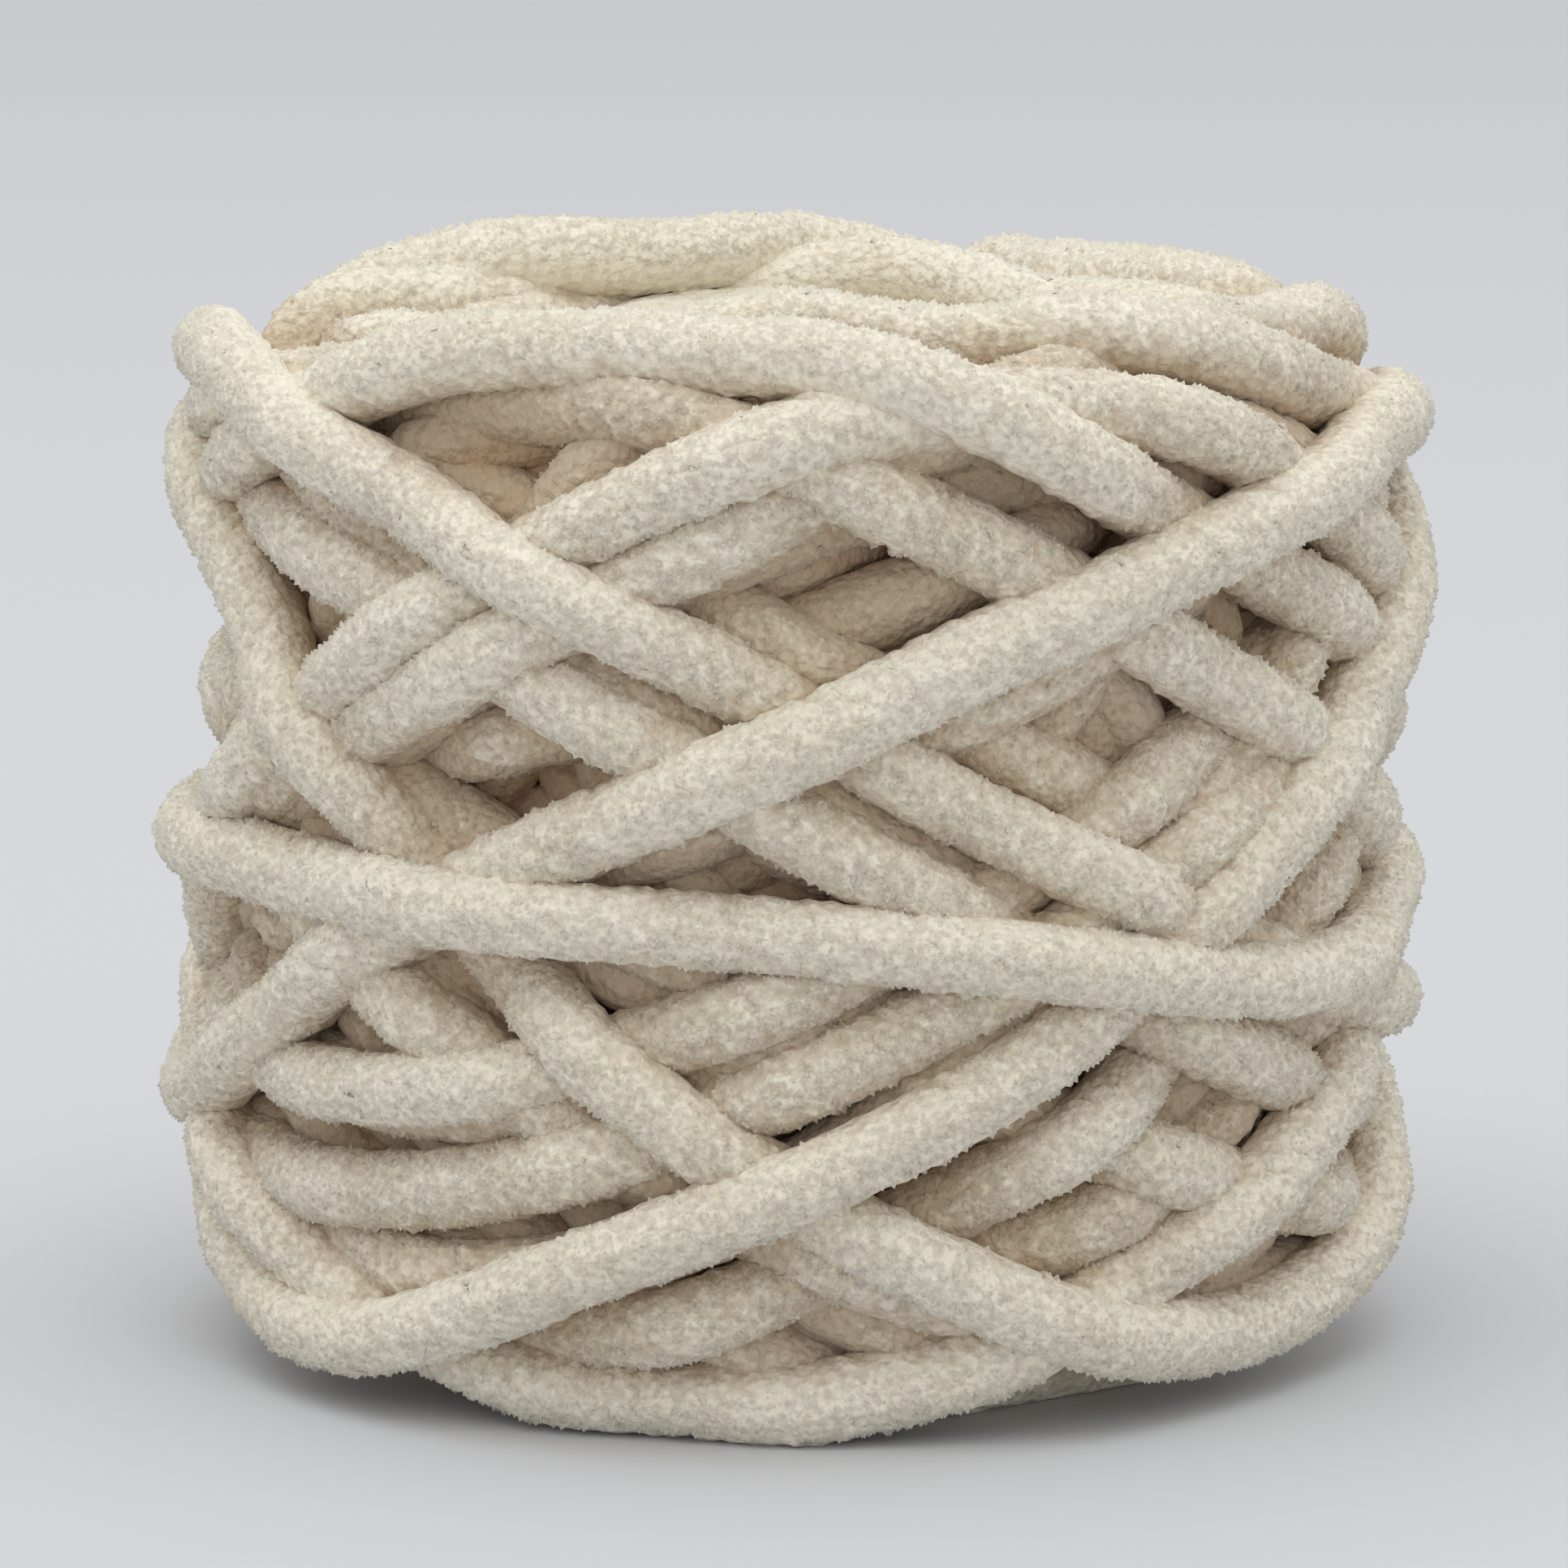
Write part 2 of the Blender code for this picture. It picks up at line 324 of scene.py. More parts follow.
# %% Settle the heights
CONTACT_STEP = 0.0025
SQUEEZE_PACKED = 0.62
SQUEEZE_LAST = 0.80
LOWEST = -0.0140
ROUNDS = 260
FLOOR_ROOM = 0.0026
TENSION, HOMING, PUSH = 0.35, 0.02, 1.6
LEAST_DOWN = 0.001
CUBE_BITS, CUBE_SHIFT = 12, 512


def crossing_pairs(points, reach):
    """All pairs (later, earlier) of yarn points closer than reach that aren't neighbours.

    Points are sorted into cubes of that size, and each cube is matched with itself and
    the cubes around it, so only near points are ever compared.
    """
    cell = np.floor(points / reach).astype(np.int64) + CUBE_SHIFT
    key = (cell[:, 0] << 2 * CUBE_BITS) + (cell[:, 1] << CUBE_BITS) + cell[:, 2]
    sorting = np.argsort(key, kind="stable")
    keys = key[sorting]
    pairs = []
    for step in np.ndindex(3, 3, 3):
        shift = ((step[0] - 1) << 2 * CUBE_BITS) + ((step[1] - 1) << CUBE_BITS) + step[2] - 1
        start = np.searchsorted(keys, key + shift, "left")
        count = np.searchsorted(keys, key + shift, "right") - start
        first = np.repeat(np.arange(len(points)), count)
        inner = np.arange(len(first)) - np.repeat(np.cumsum(count) - count, count)
        second = sorting[np.repeat(start, count) + inner]
        apart = (first - second) * CONTACT_STEP > 2.0 * reach
        pairs.append(np.stack((first[apart], second[apart])))
    later, earlier = np.concatenate(pairs, axis=1)
    gap = np.linalg.norm(points[later] - points[earlier], axis=1)
    close = gap < reach
    return later[close], earlier[close], gap[close]


def settle(points, normals, wanted, number):
    """Heights of the yarn over the drum once the turns carry each other.

    Where the drum faces down, a height is at most (z - FLOOR_ROOM) / -normal z, which
    keeps the yarn on the floor and not through it. In each round TENSION draws a height
    towards its neighbours' mean, HOMING draws it back to the wanted one, and PUSH scales
    how far a contact moves it.
    """
    down = np.maximum(-normals[:, 2], LEAST_DOWN)
    most = np.maximum((points[:, 2] - FLOOR_ROOM) / down, 0.0)
    squeeze = np.interp(number, (0.0, PACKED_TURNS), (SQUEEZE_PACKED, SQUEEZE_LAST))
    later, earlier, gap = crossing_pairs(points, 2.0 * YARN_RADIUS * SQUEEZE_LAST)
    needed = np.maximum((2.0 * YARN_RADIUS * squeeze[earlier]) ** 2 - gap**2, 0.0) ** 0.5
    size = len(wanted)
    touching = np.bincount(later, minlength=size) + np.bincount(earlier, minlength=size)
    heights = wanted.copy()
    for _ in range(ROUNDS):
        heights[1:-1] += TENSION * (0.5 * (heights[2:] + heights[:-2]) - heights[1:-1])
        heights += HOMING * (wanted - heights)
        push = 0.5 * np.maximum(needed - heights[later] + heights[earlier], 0.0)
        out = np.bincount(later, push, size) - np.bincount(earlier, push, size)
        heights = np.clip(heights + PUSH * out / np.maximum(touching, 1), LOWEST, most)
    left = np.maximum(needed - heights[later] + heights[earlier], 0.0)
    print(f"{len(later)} contacts, {1000 * left.mean():.2f} mm mean overlap left")
    return heights


coarse = np.arange(0.0, travel[-1], CONTACT_STEP)
coarse_place, coarse_azimuth, coarse_lift, coarse_number = read_at(coarse)
coarse_points, coarse_normals = on_drum(coarse_place, coarse_azimuth)
heights = settle(coarse_points, coarse_normals, coarse_lift, coarse_number)
print(f"heights {1000 * heights.min():.1f} to {1000 * heights.max():.1f} mm")

# %% [markdown]
# Meshes from whole arrays
#
# Every piece here is worked out as whole arrays of points and faces, so one helper turns
# such arrays into a smooth-shaded mesh. It also stores how exposed each point is, from 0
# deep in a gap to 1 on the outermost strands, which the yarn's finish reads to paint shade
# into the gaps, and a map that unrolls the piece.

# %% A mesh from arrays
def make_piece(name, vertices, face_groups, exposure, corner_uv):
    """A mesh object from vertices, groups of equal-sided faces, exposure and UV corners."""
    mesh = bpy.data.meshes.new(name)
    sizes = np.concatenate([np.full(len(group), group.shape[1]) for group in face_groups])
    corners = np.concatenate([group.ravel() for group in face_groups])
    mesh.vertices.add(len(vertices))
    mesh.vertices.foreach_set("co", np.ascontiguousarray(vertices, np.float32).ravel())
    mesh.loops.add(len(corners))
    mesh.loops.foreach_set("vertex_index", corners.astype(np.int32))
    mesh.polygons.add(len(sizes))
    mesh.polygons.foreach_set("loop_start", (np.cumsum(sizes) - sizes).astype(np.int32))
    values = mesh.attributes.new("exposure", "FLOAT", "POINT").data
    values.foreach_set("value", exposure.astype(np.float32))
    layer = mesh.uv_layers.new(name="OFBake")
    layer.uv.foreach_set("vector", corner_uv.astype(np.float32).ravel())
    mesh.update(calc_edges=True)
    mesh.shade_smooth()
    piece = bpy.data.objects.new(name, mesh)
    bpy.context.scene.collection.objects.link(piece)
    print(f"{name}: {int(np.sum(sizes - 2))} triangles")
    return piece


# %% [markdown]
# The yarn's body
#
# Chenille is round, soft and a little uneven: it swells and thins along its length, and
# its pile stands in small tufts. The body is a round profile carried along the line that
# the turns settled into. Its points lie closer together on the outer side, which is the
# side that shows, and each is nudged in or out at random, so the surface reads as tufts.

# %% Carry the round profile along the yarn
random = np.random.default_rng(7)
SWELL = 0.060
SWELL_LENGTH = 0.011
OUTWARD_BIAS = 0.5
TUCK_LENGTH = 0.040
TUCK_DEPTH = 0.009
YARN_PASSES, SWELL_PASSES = 6, 2

from_an_end = np.minimum(coarse - coarse[0], coarse[-1] - coarse)
heights = heights - TUCK_DEPTH * ease(1.0 - from_an_end / TUCK_LENGTH)


def settled_yarn(distance):
    """Centres of the settled yarn and the drum's outward normals, at distances along it."""
    where, around, _, _ = read_at(distance)
    points, normals = on_drum(where, around)
    height = np.interp(distance, coarse, heights)
    return soften(points + height[:, None] * normals, YARN_PASSES), normals


def swelling(count, step):
    """Slow random thickening and thinning along a yarn, about 0 and mostly within 1."""
    drawn = random.standard_normal(int(count * step / SWELL_LENGTH) + 3)
    knots = soften(drawn, SWELL_PASSES)
    return np.interp(np.arange(count) * step, np.arange(len(knots)) * SWELL_LENGTH, knots)


def yarn_surface(centres, normals, step, sides, tuft_height):
    """Grid of points (along, around), their directions out of the yarn, and their relief.

    A point is centre + radius * (cos a * outward + sin a * sideways). The radius swells
    along the yarn and has a random part, the relief. What would be under the floor is
    pressed flat on it.
    """
    along = np.gradient(centres, axis=0)
    along /= np.linalg.norm(along, axis=1)[:, None]
    outward = normals - np.sum(normals * along, axis=1)[:, None] * along
    outward /= np.linalg.norm(outward, axis=1)[:, None]
    sideways = np.cross(along, outward)
    share = np.arange(sides) / sides
    angle = 2.0 * math.pi * share - OUTWARD_BIAS * np.sin(2.0 * math.pi * share)
    relief = random.standard_normal((len(centres), sides))
    radius = YARN_RADIUS * (1.0 + SWELL * swelling(len(centres), step))[:, None]
    away = np.cos(angle)[None, :, None] * outward[:, None]
    away = away + np.sin(angle)[None, :, None] * sideways[:, None]
    grid = centres[:, None] + (radius + tuft_height * relief)[..., None] * away
    grid[..., 2] = np.maximum(grid[..., 2], 0.0)
    return grid, away, relief


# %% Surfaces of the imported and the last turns
PACKED_STEP, PACKED_SIDES, PACKED_TUFT = 0.0021, 12, 0.00014
LAST_STEP, LAST_SIDES, LAST_TUFT = 0.0009, 16, 0.00012

last_start = float(np.interp(first_of_last, turn_number, travel))
packed_distance = np.arange(0.0, last_start + PACKED_STEP, PACKED_STEP)
last_distance = np.arange(last_start, coarse[-1], LAST_STEP)
packed_line = settled_yarn(packed_distance)
last_line = settled_yarn(last_distance)
packed = yarn_surface(*packed_line, PACKED_STEP, PACKED_SIDES, PACKED_TUFT)
last = yarn_surface(*last_line, LAST_STEP, LAST_SIDES, LAST_TUFT)
print(f"packed {packed[0].shape[:2]}, last {last[0].shape[:2]} points along and around")

# %% [markdown]
# The lining of the hollow
#
# The spindle left a hollow in the middle of the top, and the yarn that lay against the
# spindle lines it. One helix of the same yarn does that, tilted a little so that its turns
# don't look machined. Its outward side is the side that shows, which here faces the axis.

# %% Line the hollow
LINING_TURNS = 4.5
LINING_PITCH = 0.0058
LINING_TILT = 0.0016
LINING_TOP = 0.0055
LINING_START = 0.012
LINING_DIVE = 0.006
LINING_DRIFT = 0.7


def lining_yarn():
    """Centres and normals of a helix down the hollow, normals towards the axis.

    At turn t the centre is (r sin a, -r cos a, top - pitch * t + tilt * sin(a + drift * t)),
    and in the first half turn the yarn comes in from further out and further down, so that
    its end is tucked away.
    """
    turn = np.arange(0.0, LINING_TURNS, LAST_STEP / (2.0 * math.pi * HOLLOW_RADIUS))
    angle = 2.0 * math.pi * turn
    across = np.stack((np.sin(angle), -np.cos(angle), np.zeros_like(angle)), 1)
    tucked = ease(1.0 - 2.0 * turn)
    centres = (HOLLOW_RADIUS + LINING_START * tucked)[:, None] * across
    centres[:, 2] = LAY_TOP - LINING_TOP - LINING_PITCH * turn - LINING_DIVE * tucked
    centres[:, 2] += LINING_TILT * np.sin(angle + LINING_DRIFT * turn)
    return centres, -across


lining = yarn_surface(*lining_yarn(), LAST_STEP, LAST_SIDES, LAST_TUFT)
print(f"lining of {len(lining[0])} rings")

# %% [markdown]
# How exposed each point is, for the painted shade
#
# Deep gaps are painted warmer and darker than the outermost strands, as painted shade,
# and pile only shows where light reaches it. Both need to know what lies above a point. So
# the drum is unrolled into cells, the highest yarn in each cell is noted, and a point's
# depth is how far it lies below that.

# %% Depth below the outermost yarn
CELL = 0.0008
# Painted shade: the colour darkens and browns over DEEP of depth below the outermost yarn, and
# RELIEF_SHADE darkens sunken points between tufts.
DEEP = 0.0115
LEVEL_EXPOSURE = 0.92
AROUND_PASSES = 80
RELIEF_SHADE = 0.05
LOOKUP_STEP = 0.00075
LOOKUP_RADIUS = 0.075
LOOKUP_LOW, LOOKUP_HIGH = -0.010, 0.115
SECTION_STRIDE = 4


def section_lookup():
    """For cells of radius and height, the index of the nearest point of the section."""
    radius = np.arange(0.0, LOOKUP_RADIUS, LOOKUP_STEP, dtype=np.float32)
    height = np.arange(LOOKUP_LOW, LOOKUP_HIGH, LOOKUP_STEP, dtype=np.float32)
    some = section[::SECTION_STRIDE].astype(np.float32)
    gap = (radius[:, None, None] - some[:, 0]) ** 2 + (height[None, :, None] - some[:, 1]) ** 2
    return SECTION_STRIDE * np.argmin(gap, axis=-1)


nearest_place = section_lookup()


def unroll(points):
    """Place along the section, azimuth and height over the drum of any points near it."""
    radius = np.hypot(points[..., 0], points[..., 1])
    row = np.clip(np.rint(radius / LOOKUP_STEP).astype(int), 0, nearest_place.shape[0] - 1)
    column = np.rint((points[..., 2] - LOOKUP_LOW) / LOOKUP_STEP).astype(int)
    index = nearest_place[row, np.clip(column, 0, nearest_place.shape[1] - 1)]
    offset = np.stack((radius, points[..., 2]), -1) - section[index]
    over = np.sum(offset * section_normals[index], axis=-1)
    return section_places[index], np.arctan2(points[..., 0], -points[..., 1]), over


def cell_of(points):
    """Row and column of the unrolled drum's cell that each point falls in, and its height."""
    where, around, over = unroll(points)
    row = np.clip((where / CELL).astype(int), 0, CELL_ROWS - 1)
    column = ((around / (2.0 * math.pi) + 0.5) * CELL_COLUMNS).astype(int) % CELL_COLUMNS
    return row, column, over


CELL_ROWS = int(section_length / CELL) + 1
CELL_COLUMNS = int(2.0 * math.pi * LAY_RADIUS / CELL)
highest = np.full((CELL_ROWS, CELL_COLUMNS), LOWEST)
for grid in (packed[0], last[0]):
    row, column, over = cell_of(grid)
    np.maximum.at(highest, (row.ravel(), column.ravel()), over.ravel())


def widest(values):
    """Each cell's highest value among itself and the eight cells around it."""
    values = np.maximum(values, np.maximum(np.roll(values, 1, 1), np.roll(values, -1, 1)))
    padded = np.pad(values, ((1, 1), (0, 0)), mode="edge")
    return np.maximum(values, np.maximum(padded[:-2], padded[2:]))


def blurred(values, passes):
    """Evens out the unrolled map, round the drum and along its section."""
    for _ in range(passes):
        values = (values + np.roll(values, 1, 1) + np.roll(values, -1, 1)) / 3.0
        padded = np.pad(values, ((1, 1), (0, 0)), mode="edge")
        values = (values + padded[:-2] + padded[2:]) / 3.0
    return values


highest = widest(highest)
around_here = blurred(highest, AROUND_PASSES)


def depth_of(points):
    """How far each point lies below the outermost yarn around it."""
    row, column, over = cell_of(points)
    return around_here[row, column] - over


def exposure_of(points, relief):
    """LEVEL_EXPOSURE where a point is level with the yarn around it, less the deeper it is.

    It is LEVEL_EXPOSURE - depth / DEEP, kept from 0 to 1, and a little less on sunken points
    between tufts. The finish paints lower exposure as darker, browner colour, so this is painted
    shade.
    """
    # Painted shade: the deeper a point lies, the lower its exposure and the darker its colour.
    level = np.clip(LEVEL_EXPOSURE - depth_of(points) / DEEP, 0.0, 1.0)
    return level + RELIEF_SHADE * relief


print(f"{CELL_ROWS} by {CELL_COLUMNS} cells, yarn up to {1000 * highest.max():.1f} mm high")

# %% [markdown]
# From surfaces to pieces
#
# The real yarn is unbroken, but a mesh of all of it would be too heavy as one piece. It is
# cut across into a few stretches, each a tube of rings with a fan over either end. A piece
# starts on the very ring where the one before it ends, so no cut shows.

# %% Make the yarn's pieces
LAST_PIECES = 3
PACKED_PIECES = 2
LAST_ROWS = 12
PACKED_ROWS = 24


def grid_faces(rings, sides):
    """Quads of a tube's grid and the fans that close its two ends, outward-facing."""
    ring, side = np.meshgrid(np.arange(rings - 1), np.arange(sides), indexing="ij")
    beside = (side + 1) % sides
    low, high = ring * sides, (ring + 1) * sides
    quads = np.stack((low + side, low + beside, high + beside, high + side), -1)
    rim = np.arange(sides)
    after = (rim + 1) % sides
    first, last = np.full((2, sides), ((rings * sides,), (rings * sides + 1,)))
    start = np.stack((first, after, rim), -1)
    end = np.stack((last, (rings - 1) * sides + rim, (rings - 1) * sides + after), -1)
    return quads.reshape(-1, 4), np.concatenate((start, end))


def unrolled_uv(rings, sides, rows):
    """UV corners that lay the tube out in rows, with its end fans in the map's corner."""
    ring, side = np.meshgrid(np.arange(rings - 1), np.arange(sides), indexing="ij")
    per_row = math.ceil((rings - 1) / rows)
    row = ring // per_row
    left = (ring - row * per_row) / per_row
    right = left + 1.0 / per_row
    low = (row + side / sides) / rows
    high = low + 1.0 / (rows * sides)
    quads = np.stack((left, low, left, high, right, high, right, low), -1).reshape(-1, 2)
    fans = np.tile(((0.99, 0.99), (1.0, 0.99), (1.0, 1.0)), (2 * sides, 1))
    return np.concatenate((quads, fans))


def yarn_piece(name, surface, rows):
    """One stretch of yarn as a closed tube."""
    grid, _, relief = surface
    rings, sides = grid.shape[:2]
    ends = np.stack((grid[0].mean(axis=0), grid[-1].mean(axis=0)))
    vertices = np.concatenate((grid.reshape(-1, 3), ends))
    exposure = exposure_of(vertices, np.append(relief.ravel(), (0.0, 0.0)))
    return make_piece(
        name, vertices, grid_faces(rings, sides), exposure, unrolled_uv(rings, sides, rows)
    )


def stretch_of(surface, start, stop):
    """The rings from start to stop of a yarn's surface."""
    return [part[start:stop] for part in surface]


def cut_to_pieces(name, surface, count, rows):
    """The yarn as count pieces of equal length, each of which starts where one ends."""
    cuts = np.linspace(0, len(surface[0]) - 1, count + 1).astype(int)
    return [
        yarn_piece(f"{name}_{number + 1}", stretch_of(surface, start, stop + 1), rows)
        for number, (start, stop) in enumerate(zip(cuts[:-1], cuts[1:]))
    ]


yarn_pieces = [yarn_piece("hollow_lining", lining, LAST_ROWS // 2)]
yarn_pieces += cut_to_pieces("packed_yarn", packed, PACKED_PIECES, PACKED_ROWS)
yarn_pieces += cut_to_pieces("last_yarn", last, LAST_PIECES, LAST_ROWS)

# %% [markdown]
# The core
#
# Far below the last turns the yarn is packed so tightly that only its ridges show through
# the gaps. A full winding down there would never be seen, so a drum a little smaller than
# the imported turns closes the ball, and its surface is ridged both ways like crossed yarn.
# Its top goes down into the hollow that the spindle left. Its exposure is 0 all over, so it is
# painted in the darkest shade of the gaps.

# %% Close the ball inside
CORE_DEPTH = 0.0088
CORE_RIDGE = 0.0012
CORE_COLUMNS = 128
# Painted shade: the core takes the finish's darkest gap colour everywhere.
CORE_EXPOSURE = 0.0
HOLLOW_DEPTH = 0.0260
RIDGE_PITCH = 0.0068
RIDGE_SLANT = 0.45
CORE_STRIDE = 14
WALL_POINTS, BASE_POINTS = 8, 6


def core_section():
    """Closed half section of the core: the drum moved inward, then down into the hollow."""
    inward = section - CORE_DEPTH * section_normals
    kept = (inward[:, 0] > HOLLOW_RADIUS) | (inward[:, 1] < 0.5 * LAY_TOP)
    outer = inward[kept][::CORE_STRIDE]
    floor = LAY_TOP - HOLLOW_DEPTH
    down = np.linspace(outer[-1], (HOLLOW_RADIUS, floor), WALL_POINTS)[1:]
    inside = np.linspace(down[-1], (0.0, floor), BASE_POINTS)[1:]
    return np.vstack(((0.0, outer[0, 1]), outer[1:], down, inside))


def core_surface():
    """Grid of the core: its section spun about the axis, ridged along both slants.

    The ridge at place v and distance u round the drum is the greater of cos(v + s u) and
    cos(v - s u), in turns of RIDGE_PITCH, where that is above 0.
    """
    half = core_section()
    azimuth = 2.0 * math.pi * np.arange(CORE_COLUMNS) / CORE_COLUMNS
    place = np.append(0.0, np.cumsum(np.linalg.norm(np.diff(half, axis=0), axis=1)))
    around, down = np.meshgrid(azimuth * LAY_RADIUS * RIDGE_SLANT, place)
    slants = np.stack((down + around, down - around))
    ridge = np.maximum(np.cos(2.0 * math.pi * slants / RIDGE_PITCH).max(axis=0), 0.0)
    radius = half[:, :1] + CORE_RIDGE * ridge
    height = np.broadcast_to(half[:, 1:], radius.shape)
    grid = np.stack((radius * np.sin(azimuth), -radius * np.cos(azimuth), height), -1)
    return grid[1:-1], half[0], half[-1]


def core_piece():
    """The core as a closed mesh, with one point at the base's centre and one in the hollow."""
    grid, bottom, top = core_surface()
    rings, columns = grid.shape[:2]
    poles = np.array(((0.0, 0.0, bottom[1]), (0.0, 0.0, top[1])))
    vertices = np.concatenate((grid.reshape(-1, 3), poles))
    exposure = np.full(len(vertices), CORE_EXPOSURE)
    faces, uv = grid_faces(rings, columns), unrolled_uv(rings, columns, 1)
    return make_piece("yarn_core", vertices, faces, exposure, uv)


yarn_pieces.append(core_piece())

# %% [markdown]
# The pile
#
# Chenille is all pile: thousands of short fibres stand out of the cord in small tufts, and
# they give it the soft ragged outline. Particle hair would be lost when the ball is sent
# to other programs, so every tuft here is real geometry, a small closed pyramid of four
# triangles. Tufts are only set where the surface can be seen, which the map of heights
# tells. Their tips are given a higher exposure than their roots, so that light seems to
# reach the tips and the roots stay in shade.

# %% Set the tufts
TUFT_ROOT = 0.00041
TUFT_LENGTH = 0.00034
TUFT_SINK = 0.00010
TUFT_LEAN = 0.25
TUFT_ROUNDING = 0.35
TUFT_TIP_SHADE = 0.10
TUFT_ROOT_SHADE = 0.05
TUFT_SIZE_SPREAD, TUFT_SIZE_LIMIT = 0.25, 2.0
DIAGONAL = 0.7
SEEN_DEPTH = 0.0016
FLOOR_CLEARANCE = 0.0008


def scatter(surface, count):
    """Random places on a yarn's surface that can be seen: points and directions out."""
    grid, away, _ = surface
    ring = random.integers(0, len(grid) - 1, count)
    side = random.integers(0, grid.shape[1], count)
    beside = (side + 1) % grid.shape[1]
    s, t = random.random((2, count, 1))
    places, directions = (
        (1 - s) * ((1 - t) * part[ring, side] + t * part[ring, beside])
        + s * ((1 - t) * part[ring + 1, side] + t * part[ring + 1, beside])
        for part in (grid, away)
    )
    row, column, over = cell_of(places)
    seen = (highest[row, column] - over < SEEN_DEPTH) & (places[:, 2] > FLOOR_CLEARANCE)
    return places[seen], directions[seen]


def tuft_piece(name, places, directions):
    """Tufts as one mesh: each a triangle at its root, turned at random, and a leaning tip."""
    count = len(places)
    directions = directions / np.linalg.norm(directions, axis=1)[:, None]
    helper = np.cross(directions, random.standard_normal((count, 3)))
    right = helper / np.linalg.norm(helper, axis=1)[:, None]
    front = np.cross(directions, right)
    drawn = random.standard_normal(count).clip(-TUFT_SIZE_LIMIT, TUFT_SIZE_LIMIT)
    size = 1.0 + TUFT_SIZE_SPREAD * drawn[:, None]
    angle = 2.0 * math.pi * np.arange(3) / 3.0
    spread = np.cos(angle)[:, None, None] * right + np.sin(angle)[:, None, None] * front
    roots = places - TUFT_SINK * directions + TUFT_ROOT * size * spread
    tips = places + TUFT_LENGTH * size * (directions + TUFT_LEAN * (right + front) * DIAGONAL)
    vertices = np.concatenate((roots, tips[None])).transpose(1, 0, 2).reshape(-1, 3)
    vertices[:, 2] = np.maximum(vertices[:, 2], 0.0)
    first = 4 * np.arange(count)[:, None, None]
    faces = first + np.array(((0, 1, 3), (1, 2, 3), (2, 0, 3), (0, 2, 1)))
    # Painted shade and light: each tuft takes the depth shade of its place, its tip is coloured
    # lighter and its roots darker.
    base = exposure_of(places, 0.0)[:, None]
    shade = np.array((-TUFT_ROOT_SHADE,) * 3 + (TUFT_TIP_SHADE,))
    across = math.ceil(math.sqrt(count))
    cell = np.stack((np.arange(count) % across, np.arange(count) // across), -1)[:, None]
    corner = np.tile(((0.1, 0.1), (0.9, 0.1), (0.5, 0.9)), (4, 1))
    uv = (cell + corner).reshape(-1, 2) / across
    piece = make_piece(name, vertices, [faces.reshape(-1, 3)], (base + shade).ravel(), uv)
    leans = np.concatenate((directions + TUFT_ROUNDING * spread, directions[None]))
    leans = leans.transpose(1, 0, 2).reshape(-1, 3)
    piece.data.normals_split_custom_set_from_vertices(leans.astype(np.float32))
    return piece


TUFTS_TRIED = ((packed, 340000), (last, 395000), (lining, 10000))
found = [scatter(surface, count) for surface, count in TUFTS_TRIED]
tuft_places, tuft_directions = (np.concatenate(part) for part in zip(*found))
print(f"{len(tuft_places)} tufts on the yarn that shows")
TUFT_PIECES = 3

bounds = np.linspace(0, len(tuft_places), TUFT_PIECES + 1).astype(int)
tuft_pieces = [
    tuft_piece(f"pile_{number + 1}", tuft_places[start:stop], tuft_directions[start:stop])
    for number, (start, stop) in enumerate(zip(bounds[:-1], bounds[1:]))
]

# %% [markdown]
# The chenille's finish
#
# Cream pile is never one flat colour. Tuft tips are painted pale, as painted light, the pile
# between them a little greyer, as painted shade, and the yarn is a touch warmer or cooler
# from place to place. The deep gaps are painted darker and brown, as painted shade and
# painted bounced light. One node group makes that colour from how exposed a point is and
# from noise in Object coordinates, and three materials use it: one for the yarn's body, one
# for its pile, one for the core.

# %% The chenille node group
FINE_SCALE, BROAD_SCALE, CURL_SCALE, NOISE_DETAIL = 1150.0, 70.0, 1000.0, 2.0
CURL_RELIEF, DOMES_MIDDLE = -0.8, -0.12
GAP_TO_SLOPE = 2.4
SLOPE_TO_CREST, CREST_OFFSET = 2.6, -1.55
BROAD_LIGHT, DOME_LIGHT, BASE_LIGHT = 0.16, 0.16, 0.93
BROAD_SATURATION, BASE_SATURATION = -0.4, 1.2


def add_input(group, name, kind, value):
    """A named input of a node group, with its first value."""
    made = group.interface.new_socket(name=name, in_out="INPUT", socket_type=kind)
    made.default_value = value


